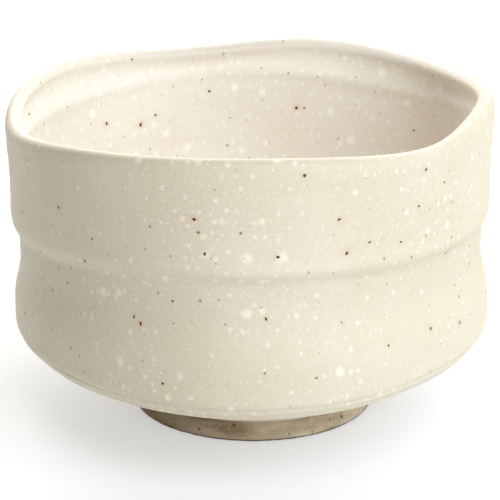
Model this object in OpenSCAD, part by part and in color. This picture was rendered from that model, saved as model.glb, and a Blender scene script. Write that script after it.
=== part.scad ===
// Matcha bowl: a hand-thrown stoneware tea bowl on a bare ring foot, with a speckled cream glaze.
// Millimetres, +Z up. The origin is the centre of the foot's resting face, and -Y is the front.

/* [Size] */
// Outer radius of the wall just below the lip
rim_r = 59.6; // [57:0.2:62]
// Height of the rim's crest, averaged round the bowl
bowl_h = 76.5; // [74:0.5:82]

/* [Foot] */
// Outer radius of the foot ring at its top
foot_r = 27.6; // [25:0.1:31]
// How far the foot spreads outwards on its way down
foot_flare = 2.2; // [0:0.1:2.6]
// Height of the foot ring
foot_h = 5.4; // [4.6:0.1:7]
// Width of the foot ring at its top
foot_w = 7; // [5:0.5:9]
// How much deeper the underside is trimmed inside the ring
recess_rise = 1.2; // [0.6:0.1:2]

/* [Belly] */
// Slope of the base, from the foot out to the hip
base_slope = 24; // [23:0.5:27]
// Radius of the round where the base turns up into the belly
hip_round = 6.5; // [4:0.5:8]
// Radius of the belly, its widest part
belly_r = 58.3; // [56.5:0.1:60]
// Height of the belly's upper edge
belly_top = 33.6; // [32:0.1:35]

/* [Waist] */
// How far the waist is pressed in from the belly
waist_in = 1.8; // [0.5:0.1:3]
// Height of the waist's lower end
waist_low = 38.6; // [36.6:0.2:40]
// Height of the waist's upper end
waist_high = 45.7; // [43:0.1:47]
// Height of the ledge, where the wall turns in to the waist
ledge_z = 50.5; // [50:0.5:53]

/* [Walls] */
// Thickness of the lip
lip_t = 3.8; // [3:0.1:5]
// Thickness of the wall at half height
wall_t = 4.1; // [3.5:0.1:5]
// Thickness of the sloping base
base_t = 4.8; // [4:0.1:6]
// Thickness of the floor at its centre
floor_t = 5; // [4:0.1:7]
// Thickness of the coat of glaze
glaze_t = 0.5; // [0.3:0.05:0.8]

/* [Warp] */
// Outward push on the whole body by its 1, 2 and 3 lobed warps
body_push = [1.4, 0.1, 2.5]; // [0:0.1:4]
// Direction of one lobe of each body warp, anticlockwise from +X
body_turn = [-170, -175, 25]; // [-180:5:180]
// Further push at the rim by its 2, 3, 4 and 5 lobed warps
rim_push = [0.8, 0.5, 0.9, 0.2]; // [0:0.1:3]
// Direction of one lobe of each rim warp
rim_turn = [50, 45, 45, 20]; // [-180:5:180]
// Rise of the throwing lines in their 1, 2 and 3 lobed waves
line_rise = [1.8, 2.1, 0.5]; // [0:0.1:3]
// Direction of one high point of each wave of the throwing lines
line_turn = [-30, 60, -140]; // [-180:5:180]
// Further rise at the rim in its 1 and 2 lobed waves
rim_rise = [1.3, 1.9]; // [0:0.1:3]
// Direction of one high point of each wave of the rim
rim_rise_turn = [125, -60]; // [-180:5:180]
// Height of the rim's small ripples, with 3, 4 and 5 lobes
ripple = [0.8, 0.7, 0.7]; // [0:0.1:1.5]
// Direction of one high point of each ripple
ripple_turn = [-100, -20, 0]; // [-180:5:180]

/* [Iron specks] */
// Number of raised iron specks on the outside
outer_specks = 96; // [10:1:96]
// Number of raised iron specks on the inside
inner_specks = 48; // [10:1:96]
// Radius of the largest speck
speck_r = 0.45; // [0.3:0.05:0.6]
// How far a speck stands out of the glaze
speck_h = 0.1; // [0.05:0.01:0.15]

/* [Hidden] */

columns = 48;               // lines of points from the foot up, evenly round the bowl
steps = 2;                  // rows of points from one station to the next
edge_drop = 0.6;            // the glaze rolls this far down over the top of the foot
edge_out = 0.25;            // and stands this far out from it
foot_gap = 0.1;             // the foot's side stays this far inside the glaze and the clay
foot_edge = 0.4;            // chamfer round the resting face
recess_round = 0.8;         // width of the slope between the foot and the trimmed underside
recess_dome = 0.3;          // the trimmed underside rises this much towards its centre
lip_h = 2.2;                // height of the round on the lip
speck_least = 0.35;         // radius of the smallest speck, as a part of the largest
speck_top = 0.7;            // a speck's radius narrows to this part of itself at its top
speck_row = 1.8;            // a speck sits only between rows at least this far apart
speck_seed = 41;            // settles where the specks fall
no_less = 0.0001;           // keeps a direction from having no length

function ramp(t) = let (c = min(max(t, 0), 1)) c * c * (3 - 2 * c);
function sum(v, i = 0) = i < len(v) ? v[i] + sum(v, i + 1) : 0;
function polar(centre, r, a) = centre + r * [cos(a), sin(a)];
function backwards(v) = [for (i = [len(v) - 1 : -1 : 0]) v[i]];
function part(v, from, to) = [for (i = [from : to]) v[i]];

// The section of the glazed bowl, as [radius, height] stations: up the outside, over the lip and
// down the inside to the middle of the well.
edge = [foot_r + edge_out, foot_h - edge_drop];
hip_start = base_slope - 90;
hip_reach = belly_r - hip_round + hip_round * cos(hip_start) - edge[0];
hip_centre = [
    belly_r - hip_round,
    edge[1] + hip_reach * tan(base_slope) - hip_round * sin(hip_start),
];
waist_r = belly_r - waist_in;
lip_z = bowl_h - lip_h;
lip_centre = [rim_r - lip_t / 2, lip_z];
inner_r = rim_r - lip_t;
inner_belly_r = belly_r - wall_t;
inner_waist_r = waist_r - wall_t;
floor_z = foot_h + recess_rise + floor_t;

function on_base(r, t) = [r, edge[1] + (r - edge[0]) * tan(base_slope) + t / cos(base_slope)];

base_stations = [for (t = [0 : 1/3 : 0.99]) on_base(edge[0] + t * hip_reach, 0)];
hip_stations = [for (t = [0 : 1/3 : 1]) polar(hip_centre, hip_round, hip_start * (1 - t))];
wall_stations = [
    [belly_r - 0.2, belly_top - 3.5],
    [belly_r - 1.0, belly_top],
    [waist_r, waist_low],
    [waist_r + 0.3, waist_high],
    [belly_r, ledge_z],
    [rim_r - 0.9, ledge_z + 8],
    [rim_r, bowl_h - 5],
];
lip_stations = [for (a = [15 : 37.5 : 165])
    lip_centre + [lip_t / 2 * cos(a), lip_h * sin(a)]];
inside_stations = [
    [inner_r + 0.5, lip_z - 3.3],           // hollow under the lip
    [inner_r - 0.6, lip_z - 7.6],           // first throwing ridge
    [rim_r - wall_t - 0.8, ledge_z + 7],
    [inner_belly_r - 0.2, ledge_z],
    [inner_waist_r, waist_high - 2],
    [inner_waist_r - 0.1, waist_low - 1],
    [inner_belly_r - 1.2, hip_centre[1] + 5.5],
    on_base(inner_belly_r - 3.4, base_t + 0.6),
    on_base(belly_r * 0.79, base_t),
    on_base(belly_r * 0.61, base_t),
    [belly_r * 0.40, floor_z + 0.8],
    [belly_r * 0.20, floor_z + 0.1],
    [0, floor_z],
];
stations = concat(base_stations, hip_stations, wall_stations, lip_stations, inside_stations);

// A smooth curve through the stations. It leaves the axis level, as if mirrored there.
function station(i) = i < 0 ? 2 * stations[0] - stations[1]
    : i < len(stations) ? stations[i]
    : let (mirrored = stations[2 * len(stations) - 2 - i]) [-mirrored[0], mirrored[1]];
function between(a, b, c, d, t) =
    (2 * b + (c - a) * t + (2 * a - 5 * b + 4 * c - d) * t^2 + (3 * b - a - 3 * c + d) * t^3) / 2;
skin = concat(
    [for (i = [0 : len(stations) - 2], s = [0 : steps - 1])
        between(station(i - 1), station(i), station(i + 1), station(i + 2), s / steps)],
    [stations[len(stations) - 1]]);
last = len(skin) - 1;
crest = steps * (len(base_stations) + len(hip_stations) + len(wall_stations) + 2);

// The clay's own surface lies one coat of glaze behind the skin.
function run(i) = skin[min(i + 1, last)] - skin[max(i - 1, 0)];
function into_clay(i) = let (d = run(i)) [-d[1], d[0]] / max(norm(d), no_less);
core = [for (i = [0 : last])
    i == 0 ? [foot_r, foot_h]
    : i == last ? skin[i] - [0, glaze_t]
    : skin[i] + glaze_t * into_clay(i)];

// The potter's warps: the section is pushed out and lifted by a few broad waves round the bowl.
function waves(size, turn, first, a) =
    sum([for (i = [0 : len(size) - 1]) size[i] * cos((i + first) * (a - turn[i]))]);
function body_share(p) = ramp((p[1] - edge[1]) / (hip_centre[1] - edge[1])) * ramp(p[0] / foot_r);
function line_share(p) = ramp((p[1] - edge[1]) / (waist_high - edge[1])) * ramp(p[0] / foot_r);
function rim_share(p) = ramp((p[1] - waist_high) / (bowl_h - waist_high));
function pushed(p, a) = p[0]
    + body_share(p) * waves(body_push, body_turn, 1, a)
    + rim_share(p) * waves(rim_push, rim_turn, 2, a);
function lifted(p, a) = p[1]
    + line_share(p) * waves(line_rise, line_turn, 1, a)
    + rim_share(p) * (waves(rim_rise, rim_rise_turn, 1, a) + waves(ripple, ripple_turn, 3, a));
function place(p, a) = let (r = pushed(p, a)) [r * cos(a), r * sin(a), lifted(p, a)];
function angle(j) = 360 * j / columns;
function ring(p) = [for (j = [0 : columns - 1]) place(p, angle(j))];
function rings(line) = [for (p = line) each ring(p)];

// The faces between one ring of points and the next, and the fans from a ring to a middle point.
function band(lower, upper) = [for (j = [0 : columns - 1]) let (k = (j + 1) % columns) each [
    [lower + j, upper + j, upper + k],
    [lower + j, upper + k, lower + k]]];
function bands(count) = [for (i = [0 : count - 2]) each band(i * columns, (i + 1) * columns)];
function last_fan(start, middle) =
    [for (j = [0 : columns - 1]) [start + j, middle, start + (j + 1) % columns]];
function first_fan(start, middle) =
    [for (j = [0 : columns - 1]) [middle, start + j, start + (j + 1) % columns]];

// A closed surface through a line of rings, from a middle point to another.
module vessel(line, first_middle, last_middle) {
    count = len(line);
    polyhedron(
        concat(rings(line), [last_middle], [first_middle]),
        concat(
            bands(count),
            last_fan((count - 1) * columns, count * columns),
            first_fan(0, count * columns + 1)),
        convexity = 6);
}

// The underside inside the foot ring, trimmed a little deeper than the ring's top.
recess_r = foot_r - foot_w;
recess_top = foot_h + recess_rise;
underside = [
    [recess_r / 2, recess_top - recess_dome / 4],
    [recess_r - recess_round, recess_top - recess_dome],
    [recess_r, foot_h],
];

// The thrown bowl: underside, outer wall, rim, inner wall and floor.
module clay_body() {
    color("tan") vessel(
        concat(underside, part(core, 0, last - 1)),
        [0, 0, recess_top],
        [0, 0, core[last][1]]);
}

// The ring foot, turned true on the wheel and left bare.
module foot_ring() {
    top_r = foot_r - foot_gap;
    low_r = top_r + foot_flare;
    color("rosybrown") rotate_extrude($fn = 96) polygon([
        [recess_r, foot_h],
        [recess_r + foot_edge, foot_edge],
        [recess_r + 2 * foot_edge, 0],
        [low_r - foot_edge, 0],
        [low_r, foot_edge],
        [top_r, foot_h],
    ]);
}

// The coat outside, from its rolled edge at the foot to the crest of the rim.
module outer_glaze() {
    line = concat(part(skin, 0, crest), backwards(part(core, 0, crest)));
    color("cornsilk") polyhedron(
        rings(line),
        concat(bands(len(line)), band((len(line) - 1) * columns, 0)),
        convexity = 6);
}

// The coat inside, from the crest of the rim to the middle of the well.
module inner_glaze() {
    color("ivory") vessel(
        concat(backwards(part(core, crest, last - 1)), part(skin, crest, last - 1)),
        [0, 0, core[last][1]],
        [0, 0, skin[last][1]]);
}

// One grain of iron, as a low disc that stands on the facet through three points.
module speck(a, b, c, weight, r) {
    n = cross(c - a, b - a);
    translate(weight[0] * a + weight[1] * b + weight[2] * c)
        rotate([0, acos(n[2] / norm(n)), atan2(n[1], n[0])])
            cylinder(h = speck_h, r1 = r, r2 = speck_top * r, $fn = 16);
}

// Grains scattered evenly by area over the skin, between two of its rows.
function row_area(i) = let (d = norm(skin[i + 1] - skin[i])) d < speck_row ? 0
    : d * (skin[i][0] + skin[i + 1][0]);
function row_at(area, i) = area <= row_area(i) ? i : row_at(area - row_area(i), i + 1);
module specks(count, first, end, seed) {
    areas = rands(0, sum([for (i = [first : end - 1]) row_area(i)]), count, seed);
    turns = rands(0, 1, count, seed + 1);
    sizes = rands(0, 1, count, seed + 2);
    weights = rands(0.25, 0.4, 2 * count, seed + 3);
    for (i = [0 : count - 1]) {
        row = row_at(areas[i], first);
        column = floor((i + turns[i]) * columns / count);
        below = place(skin[row], angle(column));
        above = place(skin[row + 1], angle(column + 1));
        odd = i % 2;
        third = odd == 1 ? place(skin[row], angle(column + 1)) : place(skin[row + 1], angle(column));
        w = [weights[2 * i], weights[2 * i + 1]];
        r = speck_r * (speck_least + (1 - speck_least) * sizes[i]^2);
        speck(
            below,
            odd == 1 ? above : third,
            odd == 1 ? third : above,
            [w[0], w[1], 1 - w[0] - w[1]],
            r);
    }
}

// The iron-bearing grains that have melted up through both coats.
module iron_specks() {
    color("saddlebrown") {
        specks(outer_specks, 0, crest - 2, speck_seed);
        specks(inner_specks, crest + 2, last - 2 * steps, speck_seed + 10);
    }
}

clay_body();
foot_ring();
outer_glaze();
inner_glaze();
iron_specks();
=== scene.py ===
import math

import bpy
import numpy as np
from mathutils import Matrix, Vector
from mathutils.bvhtree import BVHTree


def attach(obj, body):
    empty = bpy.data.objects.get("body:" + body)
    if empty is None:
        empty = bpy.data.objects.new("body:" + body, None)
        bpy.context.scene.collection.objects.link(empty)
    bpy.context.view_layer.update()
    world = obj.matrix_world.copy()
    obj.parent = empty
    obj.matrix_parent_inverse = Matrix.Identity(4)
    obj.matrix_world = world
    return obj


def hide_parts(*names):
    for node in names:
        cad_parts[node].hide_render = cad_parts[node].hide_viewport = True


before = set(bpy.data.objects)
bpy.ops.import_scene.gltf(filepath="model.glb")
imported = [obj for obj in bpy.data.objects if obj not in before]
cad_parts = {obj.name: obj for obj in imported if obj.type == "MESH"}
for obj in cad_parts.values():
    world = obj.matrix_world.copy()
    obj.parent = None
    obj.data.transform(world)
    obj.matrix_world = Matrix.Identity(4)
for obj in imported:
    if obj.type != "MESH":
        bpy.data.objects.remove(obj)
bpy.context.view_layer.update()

# A hand-thrown matcha bowl. Metres, +Z up, the origin under the middle of the foot, and -Y the
# front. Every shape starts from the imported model: its section is read back from the glaze's own
# mesh, smoothed, and given the marks of the potter's hands. Shapes are worked out in
# millimetres.

MM = 0.001
SEED = 20
FULL_TURN = 2 * math.pi

# ---------------------------------------------------------------- camera, floor and light

CAMERA_PLACE = (0.0, -0.480, 0.1995)
CAMERA_DOWN, CAMERA_ROLL = 18.56, 0.1   # degrees
SENSOR, LENS = 36.0, 148.25             # mm
MIDDLE = (0.0, 0.0, 0.04)               # what the lights face
# Each light: its name, its place, its side in metres, its power in watts and its colour
LIGHTS = (
    ("key", (0.8, -0.8, 0.6), 1.3, 18.2, (0.84, 0.92, 1.0)),
    ("front_top", (0.1, -0.6, 1.2), 0.9, 6.9, (1.0, 0.90, 0.83)),
    ("back", (0.0, 1.1, 0.8), 1.2, 12.5, (1.0, 0.94, 0.80)),
    ("back_right", (0.8, 0.8, 0.8), 1.0, 9.6, (1.0, 0.96, 0.98)),
    ("back_left", (-0.6, 0.95, 0.7), 0.8, 9.0, (1.0, 1.0, 1.0)),
)
WORLD_GLOW = 0.005
FLOOR_SIDE = 6.0
BACKDROP_RADIUS, BACKDROP_HEIGHT = 2.9, 0.34    # a low ring of paper behind the low views
PAPER = (0.50, 0.52, 0.54, 1.0)
PAPER_GLOW, GLOW_STRENGTH = (0.98, 0.97, 0.96, 1.0), 0.46       # keeps the shadows on it pale


def make_camera():
    data = bpy.data.cameras.new("camera")
    data.sensor_width = SENSOR
    data.lens = LENS
    data.clip_start, data.clip_end = 0.01, 10.0
    camera = bpy.data.objects.new("camera", data)
    camera.location = CAMERA_PLACE
    camera.rotation_euler = (math.radians(90 - CAMERA_DOWN), 0.0, math.radians(CAMERA_ROLL))
    bpy.context.scene.collection.objects.link(camera)
    bpy.context.scene.camera = camera


def make_light(name, place, side, power, colour):
    data = bpy.data.lights.new(name, "AREA")
    data.shape = "RECTANGLE"
    data.size = data.size_y = side
    data.energy = power
    data.color = colour
    light = bpy.data.objects.new(name, data)
    light.location = place
    facing = Vector(MIDDLE) - light.location
    light.rotation_euler = facing.to_track_quat("-Z", "Y").to_euler()
    bpy.context.scene.collection.objects.link(light)


def make_world():
    world = bpy.data.worlds.new("studio")
    world.use_nodes = True
    background = world.node_tree.nodes["Background"]
    background.inputs["Color"].default_value = (1.0, 1.0, 1.0, 1.0)
    background.inputs["Strength"].default_value = WORLD_GLOW
    bpy.context.scene.world = world


def make_paper():
    paper = bpy.data.materials.new("paper")
    paper.use_nodes = True
    shader = paper.node_tree.nodes["Principled BSDF"]
    shader.inputs["Base Color"].default_value = PAPER
    shader.inputs["Emission Color"].default_value = PAPER_GLOW
    shader.inputs["Emission Strength"].default_value = GLOW_STRENGTH
    shader.inputs["Roughness"].default_value = 1.0
    shader.inputs["Specular IOR Level"].default_value = 0.0
    return paper


def set_down(name, paper):
    """Names the object just made and gives it the paper."""
    sheet = bpy.context.object
    sheet.name = name
    sheet.data.materials.append(paper)


def make_studio():
    bpy.context.scene.view_settings.view_transform = "Standard"
    make_world()
    for light in LIGHTS:
        make_light(*light)
    paper = make_paper()
    bpy.ops.mesh.primitive_plane_add(size=FLOOR_SIDE)
    set_down("floor", paper)
    bpy.ops.mesh.primitive_cylinder_add(
        vertices=96, radius=BACKDROP_RADIUS, depth=BACKDROP_HEIGHT, end_fill_type="NOTHING",
        location=(0.0, 0.0, BACKDROP_HEIGHT / 2))
    set_down("backdrop", paper)


# ---------------------------------------------------------------- reading the section back

WELD = 0.001            # mm; points that agree to this are one
POLE_R = 0.01           # mm; a point nearer the axis than this is on it
WELL_R = 30.0           # mm; the inner coat's open section starts nearer the axis than this


def welded(node):
    """A node's points in millimetres, each once, and the edges between them."""
    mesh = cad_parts[node].data
    raw = np.empty(3 * len(mesh.vertices), np.float32)
    mesh.vertices.foreach_get("co", raw)
    raw = raw.reshape(-1, 3).astype(float) / MM
    keys = np.round(raw / WELD).astype(int)
    _, first, index = np.unique(keys, axis=0, return_index=True, return_inverse=True)
    ends = np.empty(2 * len(mesh.edges), np.int32)
    mesh.edges.foreach_get("vertices", ends)
    edges = np.sort(index.ravel()[ends].reshape(-1, 2), axis=1)
    return raw[first], np.unique(edges, axis=0)


def neighbours_of(edges):
    beside = {}
    for a, b in edges.tolist():
        beside.setdefault(a, []).append(b)
        beside.setdefault(b, []).append(a)
    return beside


def walk(start, second, beside):
    line = [start, second]
    while True:
        ahead = [n for n in beside[line[-1]] if n != line[-2]]
        if not ahead or ahead[0] == start:
            return line
        line.append(ahead[0])


def section_lines(node, closed):
    """[column, point, (radius, height)] along the node's section, starting with its glazed
    side, and the points on the axis."""
    points, edges = welded(node)
    radius = np.hypot(points[:, 0], points[:, 1])
    turn = np.degrees(np.arctan2(points[:, 1], points[:, 0])) % 360
    ringed = radius > POLE_R
    count = len(np.unique(np.round(turn[ringed], 1) % 360))
    column = np.where(ringed, np.rint(turn * count / 360).astype(int) % count, -1)
    along = (column[edges[:, 0]] == column[edges[:, 1]]) & ringed[edges[:, 0]]
    beside = neighbours_of(edges[along])
    flat = np.stack([radius, points[:, 2]], axis=1)
    lines = []
    for c in range(count):
        members = np.flatnonzero(column == c).tolist()
        if closed:
            start = min(members, key=lambda m: points[m, 2])
            second = max(beside[start], key=lambda m: radius[m])
        else:
            ends = [m for m in members if len(beside[m]) == 1 and radius[m] < WELL_R]
            start = max(ends, key=lambda m: points[m, 2])
            second = beside[start][0]
        lines.append(flat[walk(start, second, beside)])
    return np.array(lines), flat[~ringed]


def spline(knots, values, at):
    """A smooth curve through values at knots, read at each of at."""
    count = len(knots)
    gap = np.diff(knots)
    flat = values.reshape(count, -1)
    slope = np.diff(flat, axis=0) / gap[:, None]
    system = np.eye(count)
    right = np.zeros_like(flat)
    for i in range(1, count - 1):
        system[i, i - 1:i + 2] = gap[i - 1], 2 * (gap[i - 1] + gap[i]), gap[i]
        right[i] = 6 * (slope[i] - slope[i - 1])
    bend = np.linalg.solve(system, right)
    i = np.clip(np.searchsorted(knots, at, side="right") - 1, 0, count - 2)
    h, t = gap[i][:, None], (at - knots[i])[:, None]
    u = h - t
    read = ((bend[i] * u ** 3 + bend[i + 1] * t ** 3) / (6 * h)
            + (flat[i] / h - bend[i] * h / 6) * u + (flat[i + 1] / h - bend[i + 1] * h / 6) * t)
    return read.reshape(len(at), *values.shape[1:])


def around(rows, count):
    """The same rows with count points each, exact because the warps are a few smooth waves."""
    waves = np.fft.rfft(rows, axis=1)
    padded = np.zeros((rows.shape[0], count // 2 + 1, rows.shape[2]), complex)
    padded[:, :waves.shape[1] - 1] = waves[:, :-1]
    return np.fft.irfft(padded, n=count, axis=1) * (count / rows.shape[1])


def turns(count):
    return np.linspace(0, FULL_TURN, count, endpoint=False)


def in_space(rows):
    """Points in millimetres from rows of [radius, height] evenly spaced round the bowl."""
    turn = turns(rows.shape[1])
    radius, height = rows[..., 0], rows[..., 1]
    return np.stack([radius * np.cos(turn), radius * np.sin(turn), height], axis=2)


def ease(low, high, x):
    t = np.clip((x - low) / (high - low), 0, 1)
    return t * t * (3 - 2 * t)


def bump(x, middle, width):
    return np.exp(-0.5 * ((x - middle) / width) ** 2)


# ---------------------------------------------------------------- uneven surfaces


def field(points, wavelength, seed, squash=1.0, waves=48):
    """A smooth random height at each point, about -2 to 2, with hills about wavelength apart.
    With squash over 1 the hills are that much longer level with the wheel than upright."""
    draw = np.random.default_rng(SEED + seed)
    direction = draw.normal(size=(waves, 3))
    direction /= np.linalg.norm(direction, axis=1)[:, None]
    pitch = FULL_TURN / wavelength * draw.uniform(0.7, 1.4, waves)
    phase = draw.uniform(0, FULL_TURN, waves)
    direction[:, :2] /= squash
    total = np.zeros(points.shape[:-1])
    for d, k, p in zip(direction, pitch, phase):
        total += np.cos(k * (points @ d) + p)
    return total * math.sqrt(2 / waves)


def normals_of(points):
    """Outward unit normals of a grid of points, [row, round the bowl]."""
    up = np.gradient(points, axis=0)
    level = np.roll(points, -1, axis=1) - np.roll(points, 1, axis=1)
    out = np.cross(level, up)
    return out / np.maximum(np.linalg.norm(out, axis=2), 1e-9)[..., None]


def wave(points, kind):
    """Uneven hills: their height, how far apart they are, their draw, and their squash."""
    height, wavelength, seed, squash = kind
    return height * field(points, wavelength, seed, squash)


def sunk(points, depth):
    """The same grid moved in behind its own surface."""
    return points - normals_of(points) * depth


# ---------------------------------------------------------------- meshes


def new_piece(name, points, faces, material, nodes):
    mesh = bpy.data.meshes.new(name)
    mesh.from_pydata((np.asarray(points) * MM).tolist(), [], faces)
    mesh.validate()
    mesh.polygons.foreach_set("use_smooth", [True] * len(mesh.polygons))
    mesh.update()
    piece = bpy.data.objects.new(name, mesh)
    bpy.context.scene.collection.objects.link(piece)
    mesh.materials.append(material)
    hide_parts(*nodes)
    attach(piece, "root")
    return piece


def ring_faces(rows, count, closed=False, flip=False):
    """Quads between each row of count points and the next."""
    faces = []
    last = rows if closed else rows - 1
    for i in range(last):
        low, high = i * count, ((i + 1) % rows) * count
        for j in range(count):
            k = (j + 1) % count
            quad = (low + j, low + k, high + k, high + j)
            faces.append(quad[::-1] if flip else quad)
    return faces


def fan_faces(ring, pole, count, flip=False):
    fan = [(ring + j, ring + (j + 1) % count, pole) for j in range(count)]
    return [f[::-1] for f in fan] if flip else fan


# ---------------------------------------------------------------- the glazed surface

# Every size from here on is in millimetres, and s is how far a point is along the section, from
# the foot's edge over the crest to the middle of the well.
ROUND = 440             # points round the bowl in the coats of glaze
CLAY_ROUND = 192        # and in the clay
COAT_SINK = 0.15        # the coats' hidden sides and the clay lie this much deeper, so that no
CLAY_SINK = 0.35        # mark cuts through to them
ROW_GAP = 0.70          # from one row of points to the next
FOOT_CLOSER, LIP_CLOSER, CUT_CLOSER = 0.45, 0.42, 0.54  # how much closer the rows lie there
LIP_ROWS = (0.05, 0.15, 0.28)   # extra rows, this far on either side of the crest
LIP_CLEAR = 0.35        # the other rows keep this far from the crest
FLOOR_REACH = 46.0      # the floor and the curve round it
BASE_CLEAR = 2.0        # the base ends this far below the lower cut line

CUT_HEIGHTS = (18.1, 20.2)      # fine lines that the trimming tool left where the base turns up
CUT_DEPTHS = (0.24, 0.20)
CUT_WIDTH = 0.28
LEDGE_HEIGHT = 48.3     # where the upper wall turns in to the waist
LEDGE_WAVER = 1.9       # the line of that turn strays this far, in two waves round the bowl
LEDGE_TURN = math.radians(284)
LEDGE_LEAST, LEDGE_MORE = 0.20, 0.34    # its depth at the left, and how much more elsewhere
LEFT = math.radians(200)
LEFT_FROM, LEFT_TO = 0.5, 1.2   # radians from the left, where the ledge gets deeper
BELLY_HEIGHT = 34.6     # the soft upper edge of the belly
BELLY_LINE, BELLY_WIDTH = 0.15, 1.6
SHAVED = 0.26           # the base is trimmed this much deeper below the upper line
SHAVED_EDGE, SHAVED_LOW = 3.2, 6.0      # how sharply the facet starts, and where it fades out
RIGHT_REACH = 0.5       # radians to either side of the right
RIDGE_DROP = 9.3        # the first ridge inside lies this far below the crest
RIDGE_WAVER = 1.3       # and strays this far, in four waves
RIDGE_TURN = math.radians(60)
# Marks that the potter's fingers and tools left: the height, middle and width of each
RIDGE_MARKS = ((0.54, 0.0, 1.1), (-0.10, 3.2, 1.6))     # measured from the ridge
LIP_MARKS = ((0.26, 2.5, 0.8), (-0.17, 4.6, 1.2))       # measured from the crest, inward
LEDGE_MARKS = ((1.0, 2.0, 1.2), (-0.8, -1.4, 1.2))      # measured from the ledge, as parts of 1
# Faint rings that the wheel left, from one to the next, and how high they stand
FINGER_PITCH, TRIM_PITCH, SPIRAL_PITCH = 5.2, 2.1, 6.5
FINGER, TRIM, FINGER_INSIDE, SPIRAL = 0.035, 0.03, 0.015, 0.09
RING_DRIFT = (0.9, 40, 4, 1.0)
BROAD_WAVES, SOFT_WAVES, FINE_WAVES = (0.10, 26, 1, 2.0), (0.03, 9, 2, 2.5), (0.012, 4, 3, 1.0)
LIP_QUIET, LIP_REACH = 0.8, 2.5         # how much stiller the surface is at the lip
ROLL, ROLL_MIDDLE, ROLL_WIDTH = 0.30, 1.0, 0.9  # the glaze's lower edge, where it gathered
ROLL_WAVES = (0.09, 14, 5, 1.0)
CUT_WAVER, CUT_FADE = (0.12, 30, 8, 1.0), (0.35, 22, 9, 1.0)
EDGE_REACH = 1.2        # how far up the glaze's lower edge pulls the rest with it
EDGE_RUNS, EDGE_DRIPS = (0.12, 18, 6, 1.0), (0.05, 5, 7, 1.0)


def read_glaze():
    outer, _ = section_lines("outer_glaze", closed=True)
    inner, poles = section_lines("inner_glaze", closed=False)
    half = outer.shape[1] // 2
    top = inner.shape[1] // 2
    skin_out, core_out = outer[:, :half], outer[:, half:][:, ::-1]
    skin_in, core_in = inner[:, :top][:, ::-1], inner[:, top:]
    return skin_out, core_out, skin_in, core_in, poles


def as_rows(lines):
    return np.swapaxes(lines, 0, 1)


class Skin:
    """The glaze's surface from the foot's edge over the crest to the middle of the well."""

    def __init__(self, skin_out, skin_in, poles):
        rows = np.concatenate([as_rows(skin_out), as_rows(skin_in)[1:]])
        height = poles[:, 1].max()
        pole = np.zeros((1, rows.shape[1], 2))
        pole[..., 1] = height
        beyond = rows[:-4:-1].copy()
        beyond[..., 0] *= -1
        self.rows = np.concatenate([rows, pole, beyond])
        middle = self.rows.mean(axis=1)
        self.knots = np.concatenate([[0], np.cumsum(np.hypot(*np.diff(middle, axis=0).T))])
        self.crest = self.knots[skin_out.shape[1] - 1]
        self.end = self.knots[len(rows)]
        self.cuts = [self.at_height(z) for z in CUT_HEIGHTS]
        self.ledge = self.at_height(LEDGE_HEIGHT)
        self.belly = self.at_height(BELLY_HEIGHT)
        self.positions = self.choose()
        self.level = around(spline(self.knots, self.rows, self.positions), ROUND)

    def at_height(self, z):
        """How far along the section the outside first reaches a height."""
        dense = np.linspace(0, self.crest, 2000)
        middle = spline(self.knots, self.rows.mean(axis=1), dense)
        return dense[np.argmax(middle[:, 1] > z)]

    def choose(self):
        """Where the rows of points lie along the section: closest at the foot's edge, the cut
        lines and the lip."""
        at, places = 0.0, [0.0]
        while True:
            near = abs(at - self.crest)
            step = ROW_GAP - FOOT_CLOSER * bump(at, 0.0, 1.6)
            step -= LIP_CLOSER * bump(near, 0.0, 3.0)
            for line in self.cuts:
                step = min(step, ROW_GAP - CUT_CLOSER * bump(at, line, 0.9))
            at += step
            if at > self.end - 1.0:
                break
            if abs(at - self.crest) > LIP_CLEAR:
                places.append(at)
        beside = np.array(LIP_ROWS)
        lip = self.crest + np.concatenate([-beside[::-1], [0.0], beside])
        return np.sort(np.concatenate([places, lip]))

    def crest_row(self):
        return int(np.argmin(np.abs(self.positions - self.crest)))


def marked(at, marks):
    """How high the marks stand at a place."""
    return sum(height * bump(at, middle, width) for height, middle, width in marks)


def turned_in(skin, s, turn):
    """The crisp step at the ledge, and the soft line along the top of the belly."""
    past = s - skin.ledge - LEDGE_WAVER * np.cos(2 * (turn - LEDGE_TURN))
    deep = LEDGE_LEAST + LEDGE_MORE * ease(LEFT_FROM, LEFT_TO, np.abs(turn - LEFT))
    return deep * marked(past, LEDGE_MARKS) + BELLY_LINE * bump(s, skin.belly, BELLY_WIDTH)


def right_side(skin, s, turn):
    """The right side is fuller at the belly and the rim than a smooth warp, and nipped under
    the ledge."""
    from_right = np.abs((turn + math.pi) % FULL_TURN - math.pi)
    marks = ((0.60, skin.belly - 11.0, 4.2), (-0.35, skin.belly + 1.0, 2.5),
             (-0.25, skin.ledge + 0.5, 1.6), (0.30, skin.crest - 12.0, 5.0))
    return bump(from_right, 0.0, RIGHT_REACH) * marked(s, marks)


def shaved_base(skin, s):
    """The facet that the trimming tool left below the upper line."""
    line = skin.cuts[1]
    return -SHAVED * (1 - ease(line - SHAVED_EDGE, line, s)) * ease(2.0, line - SHAVED_LOW, s)


def ridge_inside(skin, s, turn):
    """The lip's inner edge, and the ridge that the potter's fingers left below it."""
    over = s - skin.crest
    past = over - RIDGE_DROP - RIDGE_WAVER * np.cos(4 * (turn - RIDGE_TURN))
    return marked(over, LIP_MARKS) + marked(past, RIDGE_MARKS)


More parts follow.
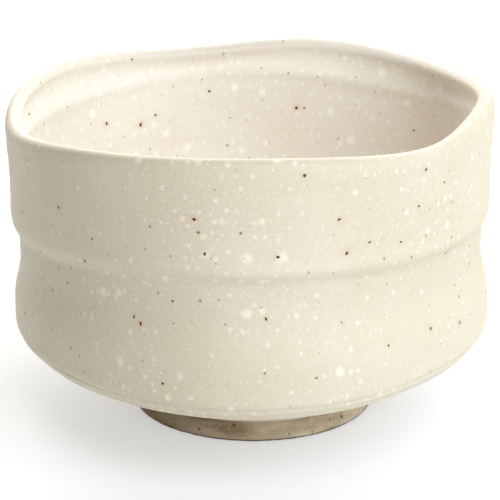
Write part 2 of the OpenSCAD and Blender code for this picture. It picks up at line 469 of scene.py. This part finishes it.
def wheel_rings(skin, points, s, turn):
    """Faint rings: the fingers' on the wall, the tool's on the base, a spiral in the well."""
    drift = wave(points, RING_DRIFT)
    z, to_crest, far = points[..., 2], skin.crest - s, skin.end - s
    outside = ease(-0.5, 0.5, to_crest)
    inside = 1 - outside
    finger = np.cos(FULL_TURN * (z / FINGER_PITCH) + turn + drift)
    trim = np.cos(FULL_TURN * s / TRIM_PITCH + 0.6 * drift)
    spiral = np.cos(FULL_TURN * far / SPIRAL_PITCH - turn + 0.5 * drift)
    return (FINGER * ease(40, 60, z) * outside * finger
            + TRIM * ease(4, 8, s) * (1 - ease(28, 36, s)) * trim
            + FINGER_INSIDE * inside * finger * ease(6, 12, -to_crest)
            + SPIRAL * inside * spiral * (1 - ease(24, 40, far)) * ease(2, 8, far))


def trimming_cuts(skin, points, s):
    """The fine lines where the base turns up, which waver and fade round the bowl."""
    marks = [(depth, line, CUT_WIDTH) for line, depth in zip(skin.cuts, CUT_DEPTHS)]
    return marked(s + wave(points, CUT_WAVER), marks) * (1 + wave(points, CUT_FADE))


def throwing_marks(skin, points):
    """How far the surface stands out from the plain warped section."""
    s = skin.positions[:, None]
    turn = turns(points.shape[1])[None, :]
    uneven = sum(wave(points, kind) for kind in (BROAD_WAVES, SOFT_WAVES, FINE_WAVES))
    near_lip = 1 - LIP_QUIET * bump(s, skin.crest, LIP_REACH)
    glaze_edge = bump(s, ROLL_MIDDLE, ROLL_WIDTH) * (ROLL + wave(points, ROLL_WAVES))
    waves = uneven * ease(0, 3, s) + wheel_rings(skin, points, s, turn)
    lines = (turned_in(skin, s, turn) + right_side(skin, s, turn) + shaved_base(skin, s)
             + ridge_inside(skin, s, turn))
    return waves * near_lip + lines + glaze_edge - trimming_cuts(skin, points, s)


def foot_edge_shift(skin, points):
    """How far the glaze's lower edge runs up or down the base."""
    share = np.exp(-skin.positions[:, None] / EDGE_REACH)
    return share * (wave(points, EDGE_RUNS) + wave(points, EDGE_DRIPS))


def displaced(skin):
    points = in_space(skin.level)
    out = normals_of(points)
    along = np.gradient(points, axis=0)
    along /= np.linalg.norm(along, axis=2)[..., None]
    return (points + out * throwing_marks(skin, points)[..., None]
            + along * foot_edge_shift(skin, points)[..., None])


def add_layer(piece, name, values):
    layer = piece.data.attributes.new(name, "FLOAT", "POINT")
    layer.data.foreach_set("value", np.asarray(values, np.float32).ravel())


def unroll(piece, skin, first, last, before, after):
    """Two layers for the glaze's spots: how far along the section a point is, and whether it
    is on the upright wall, 1, or on the base or the floor, 0. The coat's hidden side takes the
    ends' values: before and after are its rows."""
    s = skin.positions[first:last]
    low, high = skin.cuts[0] - BASE_CLEAR, skin.end - FLOOR_REACH
    wall = ((s > low) & (s < high)).astype(float)
    for name, values in (("along", s), ("wall", wall)):
        rows = np.concatenate([np.full(before, values[0]), values, np.full(after, values[-1])])
        layer = np.repeat(rows, ROUND)
        spare = len(piece.data.vertices) - len(layer)
        add_layer(piece, name, np.concatenate([layer, np.full(spare, values[-1])]))


def make_coats(skin, points, core_out, core_in, poles, material_out, material_in):
    crest = skin.crest_row()
    back = sunk(in_space(around(as_rows(core_out), ROUND)), COAT_SINK)
    grid = np.concatenate([points[:crest + 1], back[::-1]])
    outer = new_piece(
        "outer_coat", grid.reshape(-1, 3), ring_faces(len(grid), ROUND, closed=True),
        material_out, ["outer_glaze"])
    unroll(outer, skin, 0, crest + 1, 0, len(back))
    top = points[crest:]
    under = sunk(in_space(around(as_rows(core_in), ROUND)), COAT_SINK)
    grid = np.concatenate([under[::-1], top])
    count = len(grid)
    pole_under, pole_top = sorted(poles[:, 1])
    verts = np.concatenate([grid.reshape(-1, 3), [[0, 0, pole_under]], [[0, 0, pole_top]]])
    faces = (ring_faces(count, ROUND)
             + fan_faces(0, count * ROUND, ROUND, flip=True)
             + fan_faces((count - 1) * ROUND, count * ROUND + 1, ROUND))
    inner = new_piece("inner_coat", verts, faces, material_in,
                      ["inner_glaze"])
    unroll(inner, skin, crest, len(skin.positions), len(under), 0)
    return outer, inner


# ---------------------------------------------------------------- bare clay


def close_curve(points, count):
    """count points evenly along a closed outline."""
    ring = np.vstack([points, points[:1]])
    length = np.concatenate([[0], np.cumsum(np.hypot(*np.diff(ring, axis=0).T))])
    at = np.linspace(0, length[-1], count, endpoint=False)
    return np.stack([np.interp(at, length, ring[:, i]) for i in (0, 1)], axis=1)


def foot_outline():
    """The corners of the foot ring's section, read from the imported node, anticlockwise."""
    points, _ = welded("foot_ring")
    flat = np.stack([np.hypot(points[:, 0], points[:, 1]), points[:, 2]], axis=1)
    corners = np.unique(np.round(flat, 2), axis=0)
    middle = corners.mean(axis=0)
    turn = np.arctan2(*(corners - middle).T[::-1])
    return corners[np.argsort(turn)]


FOOT_ROUND = 360
FOOT_ROWS = 110
FOOT_ROUNDING = 3       # how many times the corners of the foot's section are smoothed
FOOT_LINE, FOOT_LINE_PITCH = 0.05, 1.15
FOOT_DRIFT, FOOT_WAVES = (0.8, 20, 30, 1.0), (0.07, 9, 31, 2.0)
FOOT_GRIT, FOOT_WEAR = (0.05, 1.8, 32, 1.0), (0.05, 3.0, 33, 1.0)


def foot_marks(points):
    """How far the turned sides of the foot stand out: fine lines, soft waves and grit."""
    z = points[..., 2]
    side = ease(0.25, 0.9, z) * (1 - ease(5.0, 5.3, z))
    drift = wave(points, FOOT_DRIFT)
    lines = np.cos(FULL_TURN * (z / FOOT_LINE_PITCH) + turns(FOOT_ROUND)[None, :] + drift)
    return side * (FOOT_LINE * lines + wave(points, FOOT_WAVES) + wave(points, FOOT_GRIT))


def make_foot(material):
    outline = close_curve(foot_outline(), FOOT_ROWS)
    for _ in range(FOOT_ROUNDING):
        outline = (np.roll(outline, 1, axis=0) + 2 * outline + np.roll(outline, -1, axis=0)) / 4
    rows = np.repeat(outline[:, None, :], FOOT_ROUND, axis=1)
    points = in_space(rows)
    z = points[..., 2]
    push = foot_marks(points)
    radial = points.copy()
    radial[..., 2] = 0
    radial /= np.linalg.norm(radial, axis=2)[..., None]
    facing = np.sign(rows[..., 0] - outline[:, 0].mean())
    points = points + radial * (push * facing)[..., None]
    wear_and_contact_shade = (1 - ease(0.1, 0.5, z)) * np.abs(wave(points, FOOT_WEAR))
    points[..., 2] = np.maximum(z + wear_and_contact_shade, 0.0)
    return new_piece("turned_foot", points.reshape(-1, 3),
                     ring_faces(FOOT_ROWS, FOOT_ROUND, closed=True, flip=True),
                     material, ["foot_ring"])


UNDER_ROWS = 44
UNDER_DISH = 0.3        # the recess's ceiling is this much lower at its edge than in the middle
UNDER_CORNER = 1.2      # and turns down to the foot over this reach
UNDER_PITCH = 3.4       # between the turns of the trimming spiral
UNDER_GROOVE, UNDER_DRIFT = 0.10, (0.4, 18, 40, 1.0)
UNDER_GRIT = (0.04, 2.0, 41, 1.0)
WELL_BOTTOM_HEIGHT = 9.0        # a point on the axis below this is on the recess's ceiling


def read_recess():
    """The height of the recess's ceiling, the height of the foot's top, and the recess's
    radius there."""
    points, _ = welded("clay_body")
    radius = np.hypot(points[:, 0], points[:, 1])
    foot_top = points[radius < 40][:, 2].min()
    on_axis = (radius < POLE_R) & (points[:, 2] < WELL_BOTTOM_HEIGHT)
    recess_r = radius[np.abs(points[:, 2] - foot_top) < 0.02].min()
    return points[on_axis][0, 2], foot_top, recess_r


def trimmed_underside(ceiling, foot_top, recess_r):
    """The recess's ceiling inside the foot, with the spiral that the trimming tool left."""
    r = np.linspace(0.5, recess_r, UNDER_ROWS)
    corner = ease(recess_r - UNDER_CORNER, recess_r, r)
    z = ceiling - UNDER_DISH * (r / recess_r) ** 2 - (ceiling - foot_top - UNDER_DISH) * corner
    rows = np.repeat(np.stack([r, z], axis=1)[:, None, :], CLAY_ROUND, axis=1)
    under = in_space(rows)
    r = r[:, None]
    spiral = np.cos(FULL_TURN * r / UNDER_PITCH + turns(CLAY_ROUND)[None, :]
                    + wave(under, UNDER_DRIFT))
    marks = (UNDER_GROOVE * (spiral - 1) * ease(1, 3, r)
             + wave(under, UNDER_GRIT) - UNDER_GRIT[0])
    under[..., 2] += marks * (1 - ease(recess_r - UNDER_CORNER - 0.2, recess_r, r))
    return under


def make_body(material, core_out, core_in):
    """The thrown clay. All but its underside is behind the glaze."""
    ceiling, foot_top, recess_r = read_recess()
    under = trimmed_underside(ceiling, foot_top, recess_r)
    outside = in_space(around(as_rows(core_out), CLAY_ROUND))
    outside[1:] = sunk(outside, CLAY_SINK)[1:]
    inside = sunk(in_space(around(as_rows(core_in), CLAY_ROUND)), CLAY_SINK)
    grid = np.concatenate([under, outside, inside[1:]])
    count = len(grid)
    verts = np.concatenate([grid.reshape(-1, 3), [[0, 0, ceiling]],
                            [[0, 0, inside[-1, :, 2].mean()]]])
    faces = (ring_faces(count, CLAY_ROUND)
             + fan_faces(0, count * CLAY_ROUND, CLAY_ROUND, flip=True)
             + fan_faces((count - 1) * CLAY_ROUND, count * CLAY_ROUND + 1, CLAY_ROUND))
    return new_piece("thrown_body", verts, faces, material, ["clay_body"])


# ---------------------------------------------------------------- iron specks

GRAIN_ROUND = 14
GRAIN_EDGE = 1.6        # a grain meets the glaze at this part of its reach
GRAIN_LEAST, GRAIN_SHARE = 0.17, 0.32   # a grain's reach: this, and this much of its node's
GRAIN_TOP, GRAIN_SUNK = 0.052, 0.06
# Each ring of a grain: its reach as a part of the grain's, and its height
GRAIN_RINGS = ((1.8, -GRAIN_SUNK), (1.6, 0.004), (1.3, 0.022), (1.05, 0.034), (0.6, 0.048))


def islands(points, edges):
    """The points of each separate solid."""
    root = list(range(len(points)))

    def find(a):
        while root[a] != a:
            root[a] = root[root[a]]
            a = root[a]
        return a

    for a, b in edges.tolist():
        root[find(a)] = find(b)
    groups = {}
    for i in range(len(points)):
        groups.setdefault(find(i), []).append(i)
    return [points[g] for g in groups.values()]


def points_of(coat):
    """A coat's points."""
    co = np.empty(3 * len(coat.data.vertices), np.float32)
    coat.data.vertices.foreach_get("co", co)
    return co.reshape(-1, 3).astype(float) / MM


def coat_tree(coat):
    return BVHTree.FromPolygons(
        points_of(coat).tolist(), [tuple(p.vertices) for p in coat.data.polygons])


def speck_places(coats):
    """Centre, outward normal and radius of each grain, moved from the node onto the coat."""
    trees = [coat_tree(c) for c in coats]
    places = []
    for solid in islands(*welded("iron_specks")):
        middle = solid.mean(axis=0)
        radius = np.linalg.norm(solid - middle, axis=1).max()
        hits = [t.find_nearest(Vector(middle)) for t in trees]
        spot, normal, _, _ = min(hits, key=lambda h: h[3])
        places.append((np.array(spot), np.array(normal), radius))
    return sorted(places, key=lambda p: tuple(np.round(p[0], 3)))


def grain_outline(turn, draw):
    """Four random lobes and a random stretch, about 1."""
    lobes = sum(draw.uniform(0, 0.28 / k) * np.cos(k * turn + draw.uniform(0, 6.3))
                for k in (1, 2, 3, 4))
    stretch = draw.uniform(0, 0.25)
    return (1 + lobes) * (1 + stretch * np.cos(2 * (turn - draw.uniform(0, 3.1))))


def grain(spot, normal, radius, draw):
    """A low dome with an uneven outline that sinks into the glaze at its edge."""
    side = np.cross(normal, [0.0, 0.3, 1.0])
    side /= np.linalg.norm(side)
    up = np.cross(normal, side)
    turn = turns(GRAIN_ROUND)
    reach = (GRAIN_LEAST + GRAIN_SHARE * radius) * grain_outline(turn, draw)
    points, rim = [], []
    for share, height in GRAIN_RINGS:
        wide = reach * share
        ring = np.outer(np.cos(turn) * wide, side) + np.outer(np.sin(turn) * wide, up)
        points.append(spot + ring + normal * height)
        rim += [min(share, GRAIN_EDGE)] * GRAIN_ROUND
    points += [[spot + normal * GRAIN_TOP], [spot - normal * GRAIN_SUNK]]
    points = np.concatenate(points)
    rings = len(GRAIN_RINGS)
    faces = (ring_faces(rings, GRAIN_ROUND)
             + fan_faces((rings - 1) * GRAIN_ROUND, rings * GRAIN_ROUND, GRAIN_ROUND)
             + fan_faces(0, rings * GRAIN_ROUND + 1, GRAIN_ROUND, flip=True))
    return points, faces, rim + [0.0, GRAIN_EDGE]


def make_grains(places, material):
    draw = np.random.default_rng(SEED + 60)
    points, faces, rims = [], [], []
    for spot, normal, radius in places:
        start = sum(len(p) for p in points)
        p, f, rim = grain(spot, normal, radius, draw)
        points.append(p)
        faces += [tuple(start + i for i in face) for face in f]
        rims += rim
    piece = new_piece("iron_grains", np.concatenate(points), faces, material,
                      ["iron_specks"])
    add_layer(piece, "rim", rims)
    return piece


CROWD_REACH = 46        # from one crowd of pale spots to the next
CROWD_DRAW = 414        # settles where the crowds lie
CROWD_INSIDE = 0.6      # how much closer the spots stand inside
STAIN_REACH = 0.4       # how far iron bleeds into the glaze, past the grain's own radius


def crowd_coat(coat, extra):
    """How closely the glaze's pale spots stand together, about -2 to 2."""
    add_layer(coat, "crowd", field(points_of(coat), CROWD_REACH, CROWD_DRAW) + extra)


def stain_coat(coat, places):
    """Where iron has bled into the glaze round each grain, from 0 to 1."""
    co = points_of(coat)
    stain = np.zeros(len(co))
    for spot, _, radius in places:
        gap = np.linalg.norm(co - spot, axis=1)
        strength = min(1.0, 2 * radius)
        stain = np.maximum(stain, bump(gap, 0.0, STAIN_REACH + radius) * strength)
    add_layer(coat, "stain", stain)


# ---------------------------------------------------------------- materials


FLAT_RADIUS = 58.0      # the wall is laid out flat as if it were this far from the axis
FLAT_AWAY = 400.0       # and the base and the floor are laid out this far from it
RAGGED = 0.8            # how far the edges of the glaze's spots stray
SEAM_HALF = 0.012       # radians; no spot shows this near the seam at the back
JOINT = 0.499           # a point whose wall layer is nearer a half than this is on a joint
MIX_SHARE, MIX_A, MIX_B, MIX_RESULT = 0, 6, 7, 2        # sockets of a mix of colours
VECTOR_A, VECTOR_B, VECTOR_RESULT = 4, 5, 1             # and of a mix of places


class Recipe:
    """A material's nodes, written in short calls."""

    def __init__(self, name):
        self.material = bpy.data.materials.new(name)
        self.material.use_nodes = True
        self.tree = self.material.node_tree
        self.shader = self.tree.nodes["Principled BSDF"]
        place = self.add("ShaderNodeTexCoord").outputs["Object"]
        self.mm = self.add("ShaderNodeVectorMath", {0: place, "Scale": 1 / MM},
                           operation="SCALE").outputs[0]

    def add(self, kind, inputs=None, **settings):
        node = self.tree.nodes.new(kind)
        for name, value in settings.items():
            setattr(node, name, value)
        for name, value in (inputs or {}).items():
            self.put(node.inputs[name], value)
        return node

    def put(self, socket, value):
        if isinstance(value, bpy.types.NodeSocket):
            self.tree.links.new(value, socket)
        else:
            socket.default_value = value

    def math(self, operation, a, b=0.0, c=0.0):
        return self.add("ShaderNodeMath", {0: a, 1: b, 2: c}, operation=operation).outputs[0]

    def vector(self, operation, a, b):
        return self.add("ShaderNodeVectorMath", {0: a, 1: b}, operation=operation).outputs[0]

    def scaled(self, factors):
        return self.vector("MULTIPLY", self.mm, factors)

    def noise(self, size, detail=2.0, place=None, roughness=0.5, shift=0.0):
        """Cloudy noise from 0 to 1, with patches about size millimetres across."""
        where = place or self.mm
        if shift:
            where = self.vector("ADD", where, (shift,) * 3)
        return self.add("ShaderNodeTexNoise", {
            "Vector": where, "Scale": 1 / size, "Detail": detail,
            "Roughness": roughness}).outputs["Fac"]

    def step(self, value, low, high, to_low=0.0, to_high=1.0):
        return self.add("ShaderNodeMapRange", {
            "Value": value, "From Min": low, "From Max": high, "To Min": to_low,
            "To Max": to_high}, interpolation_type="SMOOTHSTEP").outputs["Result"]

    def mix(self, share, a, b):
        return self.add("ShaderNodeMix", {MIX_SHARE: share, MIX_A: a, MIX_B: b},
                        data_type="RGBA").outputs[MIX_RESULT]

    def ragged(self, place):
        """The same place, strayed a little so that edges aren't smooth."""
        noise = self.add("ShaderNodeTexNoise", {"Vector": self.mm, "Scale": 1.1, "Detail": 2.0})
        stray = self.vector("SUBTRACT", noise.outputs["Color"], (0.5,) * 3)
        stray = self.add("ShaderNodeVectorMath", {0: stray, "Scale": RAGGED},
                         operation="SCALE").outputs[0]
        return self.vector("ADD", place, stray)

    def unrolled(self):
        """The glaze laid out flat, and a mask that is 0 along its hidden seams: the line up the
        back of the wall, and the rings where the wall joins the base and the floor."""
        axes = self.add("ShaderNodeSeparateXYZ", {0: self.mm})
        x, y = axes.outputs[0], axes.outputs[1]
        wall = self.attribute("wall")
        turn = self.math("ARCTAN2", x, self.math("MULTIPLY", y, -1.0))
        upright = self.add("ShaderNodeCombineXYZ", {
            0: self.math("MULTIPLY", turn, FLAT_RADIUS),
            1: self.attribute("along")}).outputs[0]
        level = self.add("ShaderNodeCombineXYZ", {
            0: self.math("ADD", x, FLAT_AWAY), 1: self.math("ADD", y, FLAT_AWAY)}).outputs[0]
        flat = self.add("ShaderNodeMix", {MIX_SHARE: wall, VECTOR_A: level, VECTOR_B: upright},
                        data_type="VECTOR").outputs[VECTOR_RESULT]
        clear = self.math("LESS_THAN", self.math("ABSOLUTE", turn), math.pi - SEAM_HALF)
        clear = self.math("MAXIMUM", clear, self.math("LESS_THAN", wall, 0.5))
        from_half = self.math("ABSOLUTE", self.math("SUBTRACT", wall, 0.5))
        joint = self.math("LESS_THAN", from_half, JOINT)
        mask = self.math("MULTIPLY", clear, self.math("SUBTRACT", 1.0, joint))
        return self.ragged(flat), mask

    def spots(self, where, cell, least, most, share, soft, shift):
        """Round spots, one at most in each cell of a loose grid, with radii from least to most.
        share is the part of the cells that have one, a number or a socket. where is a place and
        its mask, or None for a mask where the spots are solid."""
        place, mask = where
        place = self.vector("ADD", place, (shift, shift, 0.0))
        cells = self.add("ShaderNodeTexVoronoi", {"Vector": place, "Scale": 1 / cell},
                         voronoi_dimensions="2D" if mask else "3D", feature="F1")
        luck = self.add("ShaderNodeSeparateColor", {"Color": cells.outputs["Color"]})
        gap = self.math("MULTIPLY", cells.outputs["Distance"], cell)
        size = self.math("MULTIPLY_ADD", self.math("POWER", luck.outputs[0], 2.0),
                         most - least, least)
        inside = self.step(self.math("SUBTRACT", gap, size), soft, -soft)
        chosen = self.math("LESS_THAN", luck.outputs[1], share)
        shown = self.math("MULTIPLY", inside, chosen)
        return self.math("MULTIPLY", shown, mask) if mask else shown

    def attribute(self, name):
        return self.add("ShaderNodeAttribute", attribute_name=name).outputs["Fac"]

    def bump(self, height, depth):
        """Fine relief; depth is the height's range in millimetres."""
        return self.add("ShaderNodeBump", {
            "Height": height, "Distance": depth * MM, "Strength": 1.0}).outputs["Normal"]

    def finish(self, colour, roughness, normal=None, level=0.5):
        self.put(self.shader.inputs["Base Color"], colour)
        self.put(self.shader.inputs["Roughness"], roughness)
        self.shader.inputs["Specular IOR Level"].default_value = level
        if normal is not None:
            self.put(self.shader.inputs["Normal"], normal)
        return self.material


def rgb(red, green, blue):
    """A colour as seen on screen, 0 to 255, as the linear one that a shader takes."""
    channels = [c / 255 for c in (red, green, blue)]
    linear = [c / 12.92 if c <= 0.04045 else ((c + 0.055) / 1.055) ** 2.4 for c in channels]
    return (*linear, 1.0)


# The lip and the inside are painted paler than the outside: a painted highlight along the lip,
# and painted light inside. Each set is its plain, warm and cool tone, and the tone of its pale
# crystals.
OUTSIDE = (rgb(205, 195, 172), rgb(203, 189, 163), rgb(207, 200, 179), rgb(232, 227, 213))
LIP = (rgb(218, 212, 198), rgb(217, 208, 190), rgb(220, 215, 203), rgb(240, 237, 228))
INSIDE = (rgb(231, 225, 213), rgb(229, 220, 202), rgb(234, 229, 219), rgb(250, 249, 244))
RUST = rgb(176, 128, 84)
GRAIN = rgb(74, 44, 26)
CLAY_DARK, CLAY_LIGHT = rgb(150, 132, 104), rgb(182, 164, 134)
FOOT_DARK, FOOT_LIGHT = rgb(138, 119, 94), rgb(194, 177, 150)
CLAY_BLUSH, CLAY_PALE, CLAY_SAND = rgb(176, 122, 78), rgb(206, 192, 166), rgb(204, 190, 164)
CLAY_IRON = rgb(58, 38, 26)
# Painted shade for the foot's left side, and a painted contact shadow for the edge that it rests
# on
LEFT_SHADE, CONTACT_SHADE = rgb(98, 78, 48), rgb(60, 45, 32)
IRON_BLACK, IRON_BROWN, IRON_RING = rgb(38, 25, 16), rgb(80, 48, 28), rgb(184, 126, 68)
GLAZE_OVER_IRON = rgb(205, 190, 164)


def cream(m, cloud, tones):
    """The glaze's own colour, in broad clouds of a warm and a cool tone."""
    plain, warm, cool, _ = tones
    return m.mix(0.5, m.mix(m.step(cloud, 0.35, 0.65), warm, cool), plain)


# The glaze's pale crystals, in three sizes. Each is its cell, its least and greatest radius, the
# share of cells that have one where they are scarce, how many more have one where they crowd,
# how soft its edge is, its draw, and how pale it is.
BLOOMS = (
    (7.0, 0.50, 1.15, 0.02, 0.45, 0.48, 1.0, 0.66),
    (2.7, 0.24, 0.66, 0.10, 0.55, 0.28, 2.0, 0.50),
    (1.6, 0.10, 0.30, 0.20, 0.50, 0.16, 4.0, 0.38),
)
# Specks in a surface. Each is its cell, its least and greatest radius, the share of cells that
# have one, how soft its edge is, its draw, its strength and its colour. Iron too small to stand
# out of the glaze has a rusty halo and a dark core, or is only a faint brown.
PINS = (
    (8.5, 0.26, 0.50, 0.65, 0.22, 11.0, 0.28, RUST),
    (8.5, 0.10, 0.28, 0.65, 0.08, 11.0, 0.85, GRAIN),
    (8.5, 0.14, 0.28, 0.60, 0.12, 17.0, 0.40, GRAIN),
)
CLAY_SPECKS = (
    (4.0, 0.80, 1.90, 0.45, 0.50, 4.0, 0.40, CLAY_PALE),
    (0.9, 0.14, 0.36, 0.50, 0.08, 1.0, 0.45, CLAY_SAND),
    (2.0, 0.24, 0.66, 0.42, 0.14, 2.0, 0.75, CLAY_IRON),
)


def blooms(m, flat):
    """How much of a pale crystal shows at each point of the glaze. They crowd together."""
    crowd = m.step(m.attribute("crowd"), -0.8, 1.2)
    shown = 0.0
    for cell, least, most, scarce, crowded, soft, shift, paleness in BLOOMS:
        share = m.math("MULTIPLY_ADD", crowd, crowded, scarce)
        spots = m.spots(flat, cell, least, most, share, soft, shift)
        shown = m.math("MAXIMUM", m.math("MULTIPLY", spots, paleness), shown)
    return shown


def speckled(m, where, colour, kinds, shift=0.0):
    """The colour with each kind of speck over it."""
    for cell, least, most, share, soft, draw, strength, tone in kinds:
        spots = m.spots(where, cell, least, most, share, soft, shift + draw)
        colour = m.mix(m.math("MULTIPLY", spots, strength), colour, tone)
    return colour


def glaze(name, low, high, turn_from, turn_to):
    """A coat with one set of tones low along the section and another high along it."""
    m = Recipe(name)
    flat = m.unrolled()
    cloud = m.noise(34, 2.0)
    past = m.step(m.attribute("along"), turn_from, turn_to)
    colour = m.mix(past, cream(m, cloud, low), cream(m, cloud, high))
    pale = m.mix(past, low[-1], high[-1])
    curd = m.noise(0.9, 3.0, roughness=0.6, shift=7.0)
    colour = m.mix(m.step(curd, 0.40, 0.75, 0.0, 0.20), colour, pale)
    white = blooms(m, flat)
    colour = m.mix(white, colour, pale)
    colour = m.mix(m.math("MULTIPLY", m.attribute("stain"), 0.25), colour, RUST)
    colour = speckled(m, flat, colour, PINS)
    sheen = m.math("MULTIPLY_ADD", m.noise(6, 2.0, shift=5.0), 0.12, 0.54)
    relief = m.math("MULTIPLY_ADD", white, 0.35, m.noise(0.9, 2.0, shift=6.0))
    return m.finish(colour, sheen, m.bump(relief, 0.018))


# Where the foot's painted contact shadow and the painted shade on its left side lie
CONTACT_SHADE_FULL, CONTACT_SHADE_END, CONTACT_SHADE_SHARE = 0.35, 0.75, 0.9       # heights from the floor, and how dark
LEFT_SHADE_FULL, LEFT_SHADE_END, LEFT_SHADE_SHARE = -27.0, 4.0, 0.55   # places along X, and how brown


def painted_foot_shade(m, colour):
    """Painted shade: the foot's left side is painted browner and darker, and a painted contact
    shadow darkens the edge that it rests on."""
    axes = m.add("ShaderNodeSeparateXYZ", {0: m.mm})
    # painted shade: the foot's left side, away from the key light, is painted darker and browner
    left_shade = m.step(axes.outputs[0], LEFT_SHADE_FULL, LEFT_SHADE_END, LEFT_SHADE_SHARE, 0.0)
    wear_and_contact_shade = m.step(axes.outputs[2], CONTACT_SHADE_FULL, CONTACT_SHADE_END, CONTACT_SHADE_SHARE, 0.0)
    return m.mix(wear_and_contact_shade, m.mix(left_shade, colour, LEFT_SHADE), CONTACT_SHADE)


def bare_clay(name, dark, light, shift, rests=False):
    """Unglazed clay, streaked round the wheel, with sand, iron and paler lumps in it."""
    m = Recipe(name)
    tone = m.noise(5, 4.0, place=m.scaled((0.35, 0.35, 1.6)), shift=shift)
    colour = m.mix(m.step(tone, 0.3, 0.7), dark, light)
    blush = m.noise(9, 2.0, shift=shift + 5)
    colour = m.mix(m.step(blush, 0.5, 0.72, 0.0, 0.28), colour, CLAY_BLUSH)
    colour = speckled(m, (m.mm, None), colour, CLAY_SPECKS, shift)
    # On the foot: painted shade on its left side and a painted contact shadow at its resting edge
    if rests:
        colour = painted_foot_shade(m, colour)
    grit = m.noise(0.45, 3.0, roughness=0.65, shift=shift + 3)
    rough = m.math("MULTIPLY_ADD", grit, 0.2, 0.72)
    return m.finish(colour, rough, m.bump(grit, 0.07), level=0.25)


def iron(name):
    """A dark core, a rusty ring round it, and the glaze that laps its edge."""
    m = Recipe(name)
    rim = m.attribute("rim")
    fleck = m.noise(0.3, 2.0)
    core = m.mix(m.step(fleck, 0.4, 0.7), IRON_BLACK, IRON_BROWN)
    colour = m.mix(m.step(rim, 0.9, 1.2), core, IRON_RING)
    return m.finish(m.mix(m.step(rim, 1.25, GRAIN_EDGE), colour, GLAZE_OVER_IRON), 0.45)


# ---------------------------------------------------------------- the bowl


def make_bowl():
    skin_out, core_out, skin_in, core_in, poles = read_glaze()
    skin = Skin(skin_out, skin_in, poles)
    points = displaced(skin)
    crest = skin.crest
    coats = make_coats(
        skin, points, core_out, core_in, poles,
        # The paler band at the lip is a painted highlight, and the paler inside is painted light
        glaze("cream_glaze", OUTSIDE, LIP, crest - 1.4, crest),
        glaze("cream_glaze_inside", LIP, INSIDE, crest + 0.5, crest + 5.0))
    make_body(bare_clay("bare_clay", CLAY_DARK, CLAY_LIGHT, 0.0), core_out, core_in)
    make_foot(bare_clay("foot_clay", FOOT_DARK, FOOT_LIGHT, 30.0, rests=True))
    places = speck_places(coats)
    make_grains(places, iron("iron_speck"))
    for coat, extra in zip(coats, (0.0, CROWD_INSIDE)):
        stain_coat(coat, places)
        crowd_coat(coat, extra)


make_camera()
make_studio()
make_bowl()
